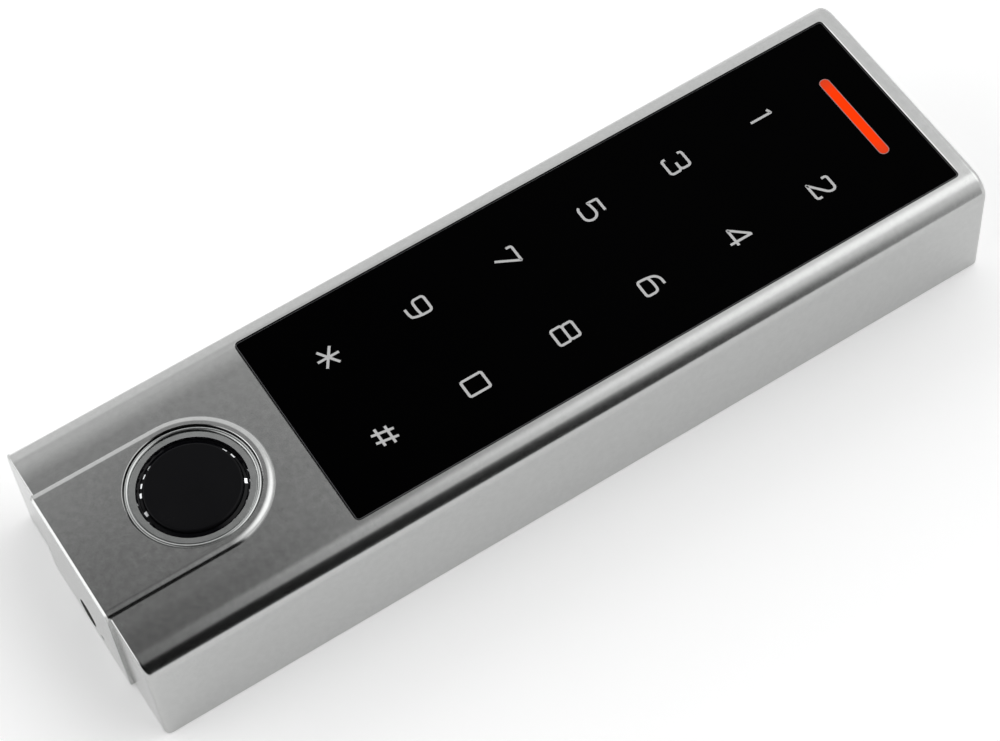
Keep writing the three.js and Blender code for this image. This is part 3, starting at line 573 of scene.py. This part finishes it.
shelf = Vector((shelf_width, shelf_width, 0))
opening_low, opening_high = glass_low + shelf, glass_high - shelf
opening_low.z, opening_high.z = shelf_back - 2 * cut_in, shelf_front + mm
combine(housing, slab(opening_low, opening_high, mm))

# Stepped hole for the sensor, flared at its mouth
seat_radius = bezel_radius + 0.12 * mm
seat_level = bezel_high.z - 1.6 * mm
barrel_hole = bezel_radius - 0.5 * mm
hole_back = front_face - 4 * mm
flare_start = casting_high.z - 0.1 * mm
hole_top = flare_start + 0.3 * mm
sensor_hole = [(0, hole_back), (barrel_hole, hole_back), (barrel_hole, seat_level),
               (seat_radius, seat_level), (seat_radius, flare_start),
               (seat_radius + hole_top - flare_start, hole_top), (0, hole_top)]
combine(housing, turned(sensor_hole, sensor_x, sensor_y))

# Counterbored hole for the lock screw, and a weep hole beside it: radius, depth, x and z
lock_low, lock_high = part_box("lock_screw")
lock_z = (lock_low.z + lock_high.z) / 2
for radius, depth, x, z in ((2.4 * mm, 3 * mm, 0, lock_z), (1.55 * mm, 6 * mm, 0, lock_z),
                            (0.45 * mm, 6 * mm, 4.2 * mm, 2.6 * mm)):
    combine(housing, rod_along_y(radius, casting_low.y - mm, casting_low.y + depth, x, z))
shaded(housing)
fit(housing, satin_casting, "terminal", "satin_casting", "housing")

# ---- Keypad glass ----
# A sheet of black-backed tempered glass, bonded onto the shelf of its pocket. Its edge is ground
# to a small matt round, which shows as a grey line.

ground_edge = finish_of("ground_edge", (0.05, 0.05, 0.055), (0.09, 0.09, 0.095), (0.35, 0.5),
                        relief=0.004 * mm, grain=9000)
black_glass = finish_of("black_glass", (0.0005, 0.0005, 0.0006), (0.0008, 0.0008, 0.0009),
                        (0.03, 0.05), patch=60, specular=0.006)
glass_grown = Vector((0.15 * mm, 0.15 * mm, 0))
glass_corner = 0.6 * mm
ground_width = 0.14 * mm
glass_bm = slab(glass_low - glass_grown, glass_high + glass_grown, glass_corner, 10)
rounded(glass_bm, top_edges(glass_bm), ground_width, 2)
for face in glass_bm.faces:
    face.material_index = int(0.05 < face.normal.z < 0.95)
keypad_glass = part("keypad_glass_sheet", glass_bm)
shaded(keypad_glass, 50)
fit(keypad_glass, black_glass, "terminal", "black_glass", "keypad_glass", second=ground_edge)

# ---- Key legends ----
# Clear strokes left in the glass's black backing, pale grey from the lights behind the keys.
# Each is a thin solid that shows through the front of the glass.

legend_light = finish_of("legend_light", (0.56, 0.56, 0.56), (0.64, 0.64, 0.64), (0.4, 0.5),
                         specular=0.1)

stroke_width = 0.44 * mm
legend_proud = 0.02 * mm
# Each stroke is its corner points in mm about the key's middle, and each corner's radius
legends = (
    ("1", [[(-0.55, 1.3, 0), (0.28, 1.62, 0.12), (0.28, -2.2, 0)]]),
    ("2", [[(-1.48, 0.7, 0), (-1.48, 1.6, 0.4), (1.3, 1.6, 0.6), (1.3, 0.35, 0.5),
            (-1.6, -2.02, 0.05), (1.48, -2.02, 0.4), (1.48, -1.15, 0)]]),
    ("3", [[(-1.55, 0.9, 0), (-1.55, 1.57, 0.35), (1.39, 1.57, 0.5), (1.39, -0.05, 0.4),
            (1.0, -0.25, 0)],
           [(-0.15, -0.25, 0), (1.52, -0.25, 0.5), (1.52, -2.09, 0.5), (-1.55, -2.09, 0.35),
            (-1.55, -1.4, 0)]]),
    ("4", [[(0.88, -2.05, 0), (0.88, 1.9, 0)],
           [(0.95, 1.75, 0), (0.72, 1.72, 0.08), (-1.62, -0.98, 0.06), (1.62, -0.98, 0)]]),
    ("5", [[(1.05, 1.66, 0), (-1.43, 1.66, 0.12), (-1.52, -0.02, 0.08), (-0.5, 0.27, 0.9),
            (1.55, 0.27, 1.1), (1.55, -1.98, 1.05), (-1.3, -1.98, 0.5), (-1.5, -1.65, 0)]]),
    ("6", [[(0.95, 1.68, 0), (-0.9, 1.62, 1.0), (-1.45, -0.3, 1.2), (-1.42, -1.89, 0.45),
            (0, -1.89, 0)],
           [(-0.3, -1.89, 0), (1.58, -1.89, 0.45), (1.58, 0.2, 0.7), (-0.4, 0.2, 0.6),
            (-1.35, -0.08, 0)]]),
    ("7", [[(-1.5, 0.9, 0), (-1.5, 1.82, 0.3), (1.6, 1.82, 0.1), (-0.4, -1.85, 0)]]),
    ("8", [[(0.1, 0.25, 0), (1.45, 0.25, 0.5), (1.45, 1.98, 0.35), (-1.45, 1.98, 0.35),
            (-1.45, 0.25, 0.5), (0.1, 0.25, 0)],
           [(1.1, 0.2, 0), (1.56, 0.2, 0.35), (1.56, -1.7, 0.4), (-1.56, -1.7, 0.4),
            (-1.56, 0.2, 0.35), (-1.1, 0.2, 0)]]),
    ("9", [[(1.5, -0.14, 0), (0.6, -0.34, 0.6), (-1.5, -0.34, 0.6), (-1.5, 1.68, 0.55),
            (0.3, 1.68, 0)],
           [(0, 1.68, 0), (1.55, 1.68, 0.55), (1.55, -0.7, 1.0), (1.1, -1.75, 0.7),
            (0.1, -1.93, 0.5), (-0.75, -1.93, 0)]]),
    ("0", [[(0.0, 1.8, 0), (1.5, 1.8, 0.3), (1.5, -1.8, 0.3), (-1.5, -1.8, 0.3),
            (-1.5, 1.8, 0.3), (0.0, 1.8, 0)]]),
    ("star", [[(0, 1.85, 0), (0, -1.85, 0)], [(-1.68, 1.13, 0), (1.68, -1.13, 0)],
              [(-1.68, -1.13, 0), (1.68, 1.13, 0)]]),
    ("hash", [[(-1.5, 0.8, 0), (1.85, 0.8, 0)], [(-1.85, -0.8, 0), (1.5, -0.8, 0)],
              [(-0.45, 1.8, 0), (-1.05, -1.8, 0)], [(1.05, 1.8, 0), (0.45, -1.8, 0)]]),
)


def stroke(corners, x, y, level):
    """A path through corner points, each rounded to its own radius."""
    bm = bmesh.new()
    points = [bm.verts.new((x + px * mm, y + py * mm, level)) for px, py, _ in corners]
    for first, second in zip(points, points[1:]):
        bm.edges.new((first, second))
    for point, (_, _, radius) in zip(points, corners):
        if radius:
            bmesh.ops.bevel(bm, geom=[point], offset=radius * mm, offset_type="OFFSET",
                            segments=6, profile=0.5, affect="VERTICES", material=-1)
    return bm


def ribbon(name, paths, x, y, level, width):
    """Strokes of one width, thickened each way from their paths and joined into one solid."""
    whole = None
    for corners in paths:
        line = stroke(corners, x, y, level)
        upright = bmesh.ops.extrude_edge_only(line, edges=line.edges[:])
        grown = [v for v in upright["geom"] if isinstance(v, bmesh.types.BMVert)]
        bmesh.ops.translate(line, vec=(0, 0, legend_proud * 2), verts=grown)
        bmesh.ops.remove_doubles(line, verts=line.verts, dist=merge)
        bmesh.ops.recalc_face_normals(line, faces=line.faces)
        strip = part(name, line)
        thick = strip.modifiers.new("width", "SOLIDIFY")
        thick.thickness = width
        thick.offset = 0
        thick.use_even_offset = True
        settle(strip)
        solid = bmesh.new()
        solid.from_mesh(strip.data)
        bmesh.ops.recalc_face_normals(solid, faces=solid.faces)
        if whole is None:
            solid.to_mesh(strip.data)
            solid.free()
            whole = strip
        else:
            bpy.data.objects.remove(strip)
            combine(whole, solid, "UNION")
    return whole


for i, (name, paths) in enumerate(legends):
    x, y = middle_of("key_led_" + str(i + 1))
    legend = ribbon("legend_" + name, paths, x, y, glass_high.z - legend_proud, stroke_width)
    fit(legend, legend_light, "terminal", "led_white")

# ---- Lit bar ----
# The window over the light guide: a slot in the glass's backing, glowing orange and dimmer
# towards its ends, with a thin pale rim of painted glow and painted reflection.

bar_low, bar_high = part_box("light_bar")
bar_glow = finish_of("bar_glow", (0.02, 0.002, 0.0), (0.03, 0.003, 0.0), (0.3, 0.4), patch=400,
                     specular=0.03)
glow_tree = bar_glow.node_tree
glow_shader = glow_tree.nodes["Principled BSDF"]
glow_shader.inputs["Emission Strength"].default_value = 1.0
bright_half = 5.2 * mm
dim_half = 8.6 * mm
bar_place = node(glow_tree, "ShaderNodeTexCoord")
bar_axes = node(glow_tree, "ShaderNodeSeparateXYZ")
glow_tree.links.new(bar_place.outputs["Object"], bar_axes.inputs[0])
from_middle = worked_in(glow_tree, "ABSOLUTE", bar_axes.outputs["X"])
dimmed = fade_in(glow_tree, from_middle, bright_half, dim_half)
glow_shades = node(glow_tree, "ShaderNodeMix", data_type="RGBA")
glow_shades.inputs["A"].default_value = (1.0, 0.042, 0.0, 1)
glow_shades.inputs["B"].default_value = (0.72, 0.05, 0.012, 1)
glow_tree.links.new(dimmed, glow_shades.inputs["Factor"])
glow_tree.links.new(glow_shades.outputs["Result"], glow_shader.inputs["Emission Color"])
bar_level = glass_high.z - legend_proud
mask = 0.26 * mm
bar_corner = 0.78 * mm
# The backing covers the guide's two long edges
bar_low.y += mask
bar_high.y -= mask
glow_bm = slab((bar_low.x, bar_low.y, bar_level),
               (bar_high.x, bar_high.y, glass_high.z + legend_proud), bar_corner, 10)
bar_window = part("light_bar_window", glow_bm)
shaded(bar_window)
fit(bar_window, bar_glow, "terminal", "amber_diffuser")

# The rim's pale pinkish colour is painted light: the bar's glow and a reflection at the
# backing's edge
bar_halo_paint = finish_of("painted_bar_halo", (0.34, 0.16, 0.15), (0.42, 0.22, 0.2), (0.3, 0.4))
rim_width = 0.13 * mm
rim_corner = 0.9 * mm
rim_bm = slab((bar_low.x - rim_width, bar_low.y - rim_width, bar_level),
              (bar_high.x + rim_width, bar_high.y + rim_width, glass_high.z + legend_proud / 2),
              rim_corner, 10)
painted_bar_halo = part("light_bar_painted_halo", rim_bm)
shaded(painted_bar_halo)
fit(painted_bar_halo, bar_halo_paint, "terminal", "amber_diffuser")

# ---- Fingerprint sensor ----
# A turned and plated bezel, clamped from inside by a nut, holds a smoked prism ring and the
# hard black window that the finger rests on.

bezel_metal = finish_of("bezel_metal", (0.44, 0.45, 0.445), (0.48, 0.49, 0.485), (0.2, 0.25),
                        relief=0.001 * mm, grain=6000, patch=600, metallic=1.0)
bore = bezel_radius - 1.4 * mm
mouth = bezel_radius - 1.75 * mm
barrel = bezel_radius - 0.8 * mm
face = bezel_high.z - 0.05 * mm
flange_back = face - mm
groove = bezel_radius - 0.86 * mm
groove_floor = face - 0.25 * mm
mouth_back = face - 0.12 * mm
rim_half = 0.36 * mm
rim_middle = bezel_radius - rim_half
rim_centre = face + 0.28 * mm - rim_half
bezel_profile = [(bore, bezel_low.z), (barrel, bezel_low.z), (barrel, flange_back),
                 (bezel_radius, flange_back), (bezel_radius, rim_centre)]
for step in range(1, 10):
    angle = step / 10 * math.pi
    bezel_profile.append((rim_middle + rim_half * math.cos(angle),
                          rim_centre + rim_half * math.sin(angle)))
bezel_profile += [(rim_middle - rim_half, groove_floor), (groove, groove_floor), (groove, face),
                  (mouth, face), (mouth, mouth_back), (bore, mouth_back)]
bezel = part("sensor_bezel_ring", turned(bezel_profile, sensor_x, sensor_y, 160))
shaded(bezel, 40)
fit(bezel, bezel_metal, "terminal", "bezel_metal", "sensor_bezel")

smoked_prism = finish_of("smoked_prism", (0.002, 0.002, 0.003), (0.004, 0.004, 0.005),
                         (0.08, 0.12), patch=300, specular=0.12)
prism_low, prism_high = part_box("sensor_prism_ring")
prism_outer = (prism_high.x - prism_low.x) / 2
prism_inner = prism_outer - 0.95 * mm
prism_top = face - 0.18 * mm
tooth_count = 30
tooth_steps = (0.0, 0.15, 0.85, 1.0)
tooth_depth = 0.16 * mm
first_tooth = math.radians(-0.5)
# Each level of the ring is (radius, z, how far its teeth reach in, how many steps they trail)
prism_levels = ((prism_outer, prism_low.z, 0, 0), (prism_outer, prism_top, 0, 0),
                (prism_outer - 0.12 * mm, prism_top, tooth_depth, 0),
                (prism_outer - 0.16 * mm, prism_top - 0.32 * mm, tooth_depth, 1),
                (prism_outer - 0.48 * mm, prism_top - 0.4 * mm, 0, 0),
                (prism_outer - 0.56 * mm, prism_top - 0.36 * mm, 0, 1),
                (prism_inner, prism_top - 0.22 * mm, 0, 0),
                (prism_inner, prism_low.z, 0, 0))
# Teeth, counted round from +X, whose steps are painted glints in a bright mirror finish, by the
# level they start at
crest_teeth = (1, 3, 4, 5, 6, 21, 23)
inner_teeth = (5, 8, 9, 17, 18, 19, 20, 22)
glint_steps = {1: (crest_teeth, (1,)), 4: (inner_teeth, (1,)), 5: (inner_teeth, (1, 2))}
facet_total = tooth_count * len(tooth_steps)
facet_angle = 2 * math.pi / facet_total
prism_bm = turned([level[:2] for level in prism_levels], sensor_x, sensor_y, facet_total)
sensor_axis = Vector((sensor_x, sensor_y, 0))


def facet_at(point):
    """How many facets round from +X a point of the plain ring lies."""
    return math.atan2(point.y - sensor_y, point.x - sensor_x) / facet_angle % facet_total


def level_at(point):
    """Which level of the plain ring a point lies on."""
    radius = (point - sensor_axis).xy.length
    away = [abs(radius - level[0]) + abs(point.z - level[1]) for level in prism_levels]
    return away.index(min(away))


# Facets are marked on the plain ring, where they are easy to place, and then its points move
# in to make the teeth. The last level joins the first.
for facet in prism_bm.faces:
    levels = sorted({level_at(v.co) for v in facet.verts})
    start = levels[0] if levels[1] == levels[0] + 1 else levels[1]
    teeth, steps = glint_steps.get(start, ((), ()))
    tooth, step = divmod(int(facet_at(facet.calc_center_median())), len(tooth_steps))
    facet.material_index = int(tooth in teeth and step in steps)
for point in prism_bm.verts:
    place = round(facet_at(point.co)) % facet_total
    radius, z, reach, trail = prism_levels[level_at(point.co)]
    inward = radius - reach * tooth_steps[(place - trail) % len(tooth_steps)]
    angle = first_tooth + place * facet_angle
    point.co = (sensor_x + inward * math.cos(angle), sensor_y + inward * math.sin(angle), z)
bmesh.ops.recalc_face_normals(prism_bm, faces=prism_bm.faces)
prism = part("sensor_prism", prism_bm)
shaded(prism, 20)
# Only the chosen steps take this bright mirror finish, unlike the rest of the smoked ring:
# painted glints
painted_glint_finish = finish_of("painted_glint_finish", (0.9, 0.91, 0.93), (0.97, 0.98, 1.0), (0.08, 0.14),
                       patch=900, metallic=1.0)
fit(prism, smoked_prism, "terminal", "smoked_prism", "sensor_prism_ring", second=painted_glint_finish)

window_low, window_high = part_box("finger_window")
window_radius = (window_high.x - window_low.x) / 2
window_black = finish_of("sensor_window", (0.0058, 0.0058, 0.0066), (0.0066, 0.0066, 0.0075),
                         (0.22, 0.28), patch=200, specular=0.06)
window_round = 0.4 * mm
window_profile = [(0, window_low.z), (window_radius, window_low.z),
                  (window_radius, window_high.z - window_round)]
for step in range(1, 7):
    angle = step / 6 * math.pi / 2
    window_profile.append((window_radius - window_round * (1 - math.cos(angle)),
                           window_high.z - window_round * (1 - math.sin(angle))))
window_profile.append((0, window_high.z))
finger_window = part("finger_window_disc", turned(window_profile, sensor_x, sensor_y, 128))
shaded(finger_window)
fit(finger_window, window_black, "terminal", "sensor_window", "finger_window")

# ---- Back and mounting pieces ----
# A pressed steel wall plate, a moulded rear cover with its screws, a rubber grommet, and the
# lock screw with its nylon washer. Their edges are broken as pressed, moulded or turned.

steel = dict(metallic=1.0, relief=0.006 * mm, grain=2500)
plate_steel = finish_of("plate_steel", (0.42, 0.43, 0.44), (0.58, 0.59, 0.60), (0.28, 0.42),
                        stretch=(1, 0.06, 1), **steel)
screw_steel = finish_of("screw_steel", (0.45, 0.45, 0.44), (0.58, 0.58, 0.57), (0.22, 0.34),
                        **steel)
black_plastic = finish_of("black_plastic", (0.014, 0.014, 0.015), (0.024, 0.024, 0.025),
                          (0.42, 0.58), relief=0.012 * mm, grain=3200)
rubber = finish_of("rubber", (0.012, 0.012, 0.012), (0.022, 0.022, 0.022), (0.6, 0.8),
                   relief=0.01 * mm, grain=3000)
nylon = finish_of("nylon", (0.72, 0.71, 0.66), (0.80, 0.79, 0.74), (0.4, 0.5))
slot_of = {entry["node"]: entry["material_slot"] for entry in frame["record"]["subparts"]}


def edge_broken(named, width, finish, body):
    """A piece's own solid with its sharp edges rounded by a small width."""
    bm = bmesh.new()
    bm.from_mesh(frame["nodes"][named].data)
    bmesh.ops.remove_doubles(bm, verts=bm.verts, dist=near)
    bmesh.ops.dissolve_limit(bm, angle_limit=math.radians(0.5), verts=bm.verts, edges=bm.edges)
    for face in bm.faces:
        face.material_index = 0
    piece = part(named + "_finished", bm)
    breaks = piece.modifiers.new("edge_breaks", "BEVEL")
    breaks.width = width
    breaks.segments = 2
    breaks.limit_method = "ANGLE"
    breaks.angle_limit = math.radians(40)
    shaded(piece, 40)
    fit(piece, finish, body, slot_of[named], named)


edge_broken("wall_plate", 0.15 * mm, plate_steel, "wall_plate")
edge_broken("rear_cover", 0.15 * mm, black_plastic, "terminal")
edge_broken("cable_grommet", 0.2 * mm, rubber, "terminal")
for i in range(6):
    edge_broken("cover_screw_" + str(i + 1), 0.08 * mm, screw_steel, "terminal")
edge_broken("lock_washer", 0.06 * mm, nylon, "lock_washer")
edge_broken("lock_screw", 0.06 * mm, screw_steel, "lock_screw")

# ---- Hidden pieces ----
# Boards, chips, lights, seals and the rest inside keep their own solids, each in the finish of
# its slot.

finishes = {
    "adhesive_foam": finish_of("adhesive_foam", (0.02, 0.02, 0.02), (0.035, 0.035, 0.035),
                               (0.8, 0.95), relief=0.03 * mm, grain=3000),
    "black_circuit_board": finish_of("black_circuit_board", (0.006, 0.007, 0.008),
                                     (0.014, 0.015, 0.017), (0.3, 0.45), grain=700, patch=500),
    "green_circuit_board": finish_of("green_circuit_board", (0.004, 0.05, 0.016),
                                     (0.01, 0.10, 0.03), (0.28, 0.4), grain=700, patch=500),
    "chip_black": finish_of("chip_black", (0.012, 0.012, 0.012), (0.02, 0.02, 0.02),
                            (0.5, 0.65), relief=0.006 * mm, grain=7000),
    "amber_diffuser": finish_of("amber_diffuser", (0.75, 0.30, 0.06), (0.85, 0.38, 0.09),
                                (0.35, 0.5)),
    "coil_copper": finish_of("coil_copper", (0.50, 0.17, 0.06), (0.66, 0.26, 0.10),
                             (0.25, 0.4), relief=0.05 * mm, grain=900, metallic=1.0),
    "rubber": rubber,
    "brass": finish_of("brass", (0.60, 0.42, 0.16), (0.70, 0.50, 0.22), (0.25, 0.35), **steel),
    "ribbon_film": finish_of("ribbon_film", (0.42, 0.20, 0.05), (0.52, 0.26, 0.07),
                             (0.25, 0.35), grain=800, stretch=(6, 0.2, 1)),
    "socket_plastic": finish_of("socket_plastic", (0.62, 0.60, 0.54), (0.70, 0.68, 0.62),
                                (0.4, 0.5), relief=0.004 * mm, grain=4000),
    "clear_sensor": finish_of("clear_sensor", (0.05, 0.055, 0.07), (0.08, 0.085, 0.10),
                              (0.05, 0.1), coat=0.5),
    "led_white": finish_of("led_white", (0.75, 0.75, 0.70), (0.85, 0.85, 0.80), (0.3, 0.45)),
    "black_plastic": black_plastic,
    "plate_steel": plate_steel,
    "nylon": nylon,
    "screw_steel": screw_steel,
    "satin_casting": satin_casting,
    "black_glass": black_glass,
    "bezel_metal": bezel_metal,
    "smoked_prism": smoked_prism,
    "sensor_window": window_black,
}
for named, solid in frame["nodes"].items():
    if named in slot_of:
        solid.data.materials.clear()
        solid.data.materials.append(finishes[slot_of[named]])
